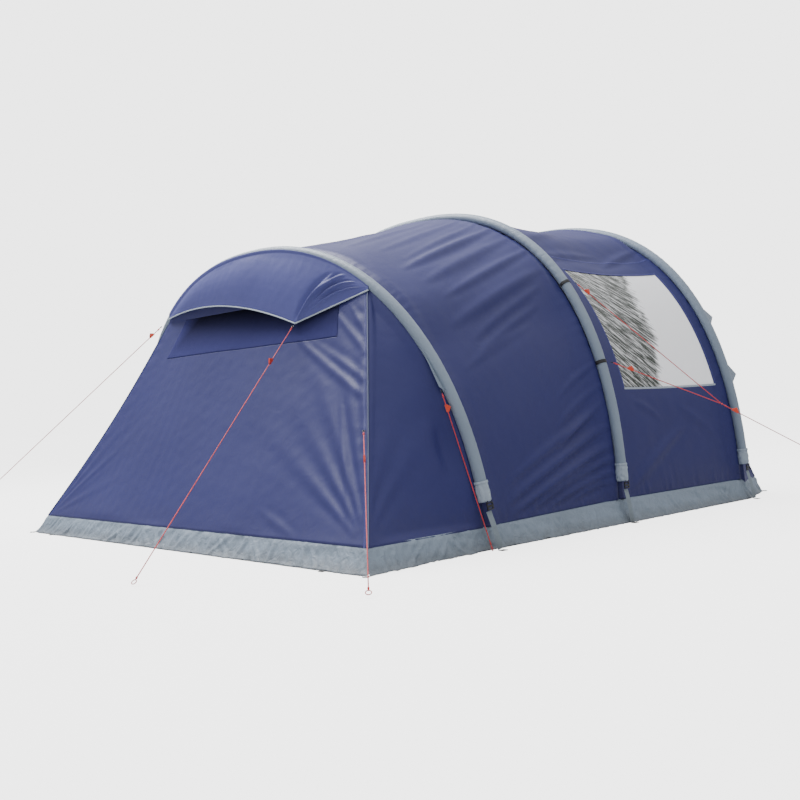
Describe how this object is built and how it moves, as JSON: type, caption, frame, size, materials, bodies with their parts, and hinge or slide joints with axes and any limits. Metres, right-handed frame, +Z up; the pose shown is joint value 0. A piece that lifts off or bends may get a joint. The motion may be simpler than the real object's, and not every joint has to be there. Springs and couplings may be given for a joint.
{
  "type": "inflatable tunnel tent",
  "caption": "Tunnel tent on inflated arch beams, with a sloping front, canopy, side windows, side door, mud skirt and guy lines.",
  "frame": {"origin": "on the ground, at the centre of the pitched tent's box without its guy lines", "axes": "+X towards the side with the guyed window, -Y the front with the canopy, +Z up"},
  "size_m": [5.2231, 4.8375, 2.0598],
  "materials": {
    "fly": "matte coated polyester",
    "beam": "satin inflated tube",
    "sleeve": "woven, slight sheen",
    "end_cover": "speckled heavy cloth",
    "black_plastic": "moulded",
    "grey_plastic": "moulded",
    "grey_webbing": "woven webbing",
    "black_webbing": "woven webbing",
    "steel": "plated",
    "mesh": "fine open mesh",
    "piping": "corded edging",
    "clear_film": "clear flexible film",
    "zip_tape": "coil zip",
    "zip_metal": "cast slider",
    "skirt": "coated polyester",
    "groundsheet": "woven polyethylene",
    "runner": "moulded",
    "guy_line": "braided cord"
  },
  "bodies": {
    "tent": {"beam_front": "beam", "beam_middle": "beam", "beam_rear": "beam", "sleeve_front": "sleeve", "sleeve_middle": "sleeve", "sleeve_rear": "sleeve", "end_covers_front": "end_cover", "end_covers_middle": "end_cover", "end_covers_rear": "end_cover", "valves": "black_plastic", "ground_straps": "grey_webbing", "peg_tabs": "black_webbing", "corner_rings": "steel", "front_bay_fly": "fly", "rear_bay_fly": "fly", "front_panel": "fly", "front_vent_mesh": "mesh", "front_side_panels": "fly", "rear_panel": "fly", "rear_side_panels": "fly", "canopy": "fly", "piping": "piping", "window_right": "clear_film", "window_left": "clear_film", "door_zip": "zip_tape", "skirt_front": "skirt", "skirt_rear": "skirt", "skirt_right": "skirt", "skirt_left": "skirt", "groundsheet": "groundsheet", "guy_tabs": "sleeve", "middle_bands": "black_webbing", "guy_rings": "black_webbing", "guy_end_loops": "guy_line", "guy_canopy": "guy_line", "guy_corner": "guy_line", "guy_front": "guy_line", "guy_far": "guy_line", "guy_upper": "guy_line", "guy_lower": "guy_line", "guy_side": "guy_line"},
    "buckle_front_right": {"buckle_front_right": "black_plastic"},
    "buckle_front_left": {"buckle_front_left": "black_plastic"},
    "valve_cap_front": {"valve_cap_front": "grey_plastic"},
    "buckle_middle_right": {"buckle_middle_right": "black_plastic"},
    "buckle_middle_left": {"buckle_middle_left": "black_plastic"},
    "valve_cap_middle": {"valve_cap_middle": "grey_plastic"},
    "buckle_rear_right": {"buckle_rear_right": "black_plastic"},
    "buckle_rear_left": {"buckle_rear_left": "black_plastic"},
    "valve_cap_rear": {"valve_cap_rear": "grey_plastic"},
    "side_door": {"side_door": "fly"},
    "zip_slider": {"zip_slider": "zip_metal"},
    "runner_canopy": {"runner_canopy": "runner"},
    "runner_corner": {"runner_corner": "runner"},
    "runner_front": {"runner_front": "runner"},
    "runner_far": {"runner_far": "runner"},
    "runner_upper": {"runner_upper": "runner"},
    "runner_lower": {"runner_lower": "runner"},
    "runner_side": {"runner_side": "runner"}
  },
  "joints": [
    {"name": "buckle_front_right_tilt", "type": "hinge", "parent": "tent", "child": "buckle_front_right", "pos_m": [1.65793, -1.18375, 0.23545], "axis": [0, -0.9926, -0.1212], "range_deg": [0, 30]},
    {"name": "buckle_front_left_tilt", "type": "hinge", "parent": "tent", "child": "buckle_front_left", "pos_m": [-1.65793, -1.18375, 0.23545], "axis": [0, 0.9926, 0.1212], "range_deg": [0, 30]},
    {"name": "valve_cap_front_turn", "type": "hinge", "parent": "tent", "child": "valve_cap_front", "pos_m": [1.62712, -1.18599, 0.2538], "axis": [-0.1182, -0.1203, 0.9857], "range_deg": [0, 270]},
    {"name": "buckle_middle_right_tilt", "type": "hinge", "parent": "tent", "child": "buckle_middle_right", "pos_m": [1.63374, 0.055, 0.23354], "axis": [0, -1, 0], "range_deg": [0, 30]},
    {"name": "buckle_middle_left_tilt", "type": "hinge", "parent": "tent", "child": "buckle_middle_left", "pos_m": [-1.63374, 0.055, 0.23354], "axis": [0, 1, 0], "range_deg": [0, 30]},
    {"name": "valve_cap_middle_turn", "type": "hinge", "parent": "tent", "child": "valve_cap_middle", "pos_m": [1.6042, 0.055, 0.25398], "axis": [-0.0537, 0, 0.9986], "range_deg": [0, 270]},
    {"name": "buckle_rear_right_tilt", "type": "hinge", "parent": "tent", "child": "buckle_rear_right", "pos_m": [1.64525, 1.50237, 0.23306], "axis": [0, -0.9953, -0.0966], "range_deg": [0, 30]},
    {"name": "buckle_rear_left_tilt", "type": "hinge", "parent": "tent", "child": "buckle_rear_left", "pos_m": [-1.64525, 1.50237, 0.23306], "axis": [0, 0.9953, 0.0966], "range_deg": [0, 30]},
    {"name": "valve_cap_rear_turn", "type": "hinge", "parent": "tent", "child": "valve_cap_rear", "pos_m": [1.61607, 1.50035, 0.25393], "axis": [-0.0361, -0.0966, 0.9947], "range_deg": [0, 270]},
    {"name": "side_door_drop", "type": "hinge", "parent": "tent", "child": "side_door", "pos_m": [-1.5822, -0.57113, 0.15921], "axis": [-0.0232, -0.9995, -0.0236], "range_deg": [0, 100]},
    {"name": "zip_slider_run", "type": "slide", "parent": "tent", "child": "zip_slider", "axis": [-0.0355, 0.9811, 0.1901], "range_m": [0, 0.69]},
    {"name": "runner_canopy_slide", "type": "slide", "parent": "tent", "child": "runner_canopy", "axis": [0.252, -0.7108, -0.6567], "range_m": [-0.15, 0.3]},
    {"name": "runner_corner_slide", "type": "slide", "parent": "tent", "child": "runner_corner", "axis": [0.6289, -0.5687, -0.5301], "range_m": [-0.12, 0.2]},
    {"name": "runner_front_slide", "type": "slide", "parent": "tent", "child": "runner_front", "axis": [0.2387, 0.1288, -0.9625], "range_m": [-0.03, 0.2]},
    {"name": "runner_far_slide", "type": "slide", "parent": "tent", "child": "runner_far", "axis": [-0.6107, -0.4788, -0.6307], "range_m": [-0.03, 0.2]},
    {"name": "runner_upper_slide", "type": "slide", "parent": "tent", "child": "runner_upper", "axis": [0.5949, 0.4141, -0.6889], "range_m": [-0.03, 0.15]},
    {"name": "runner_lower_slide", "type": "slide", "parent": "tent", "child": "runner_lower", "axis": [0.6252, 0.6725, -0.3961], "range_m": [-0.05, 0.15]},
    {"name": "runner_side_slide", "type": "slide", "parent": "tent", "child": "runner_side", "axis": [0.6211, 0.5987, -0.5057], "range_m": [-0.02, 0.2]}
  ]
}
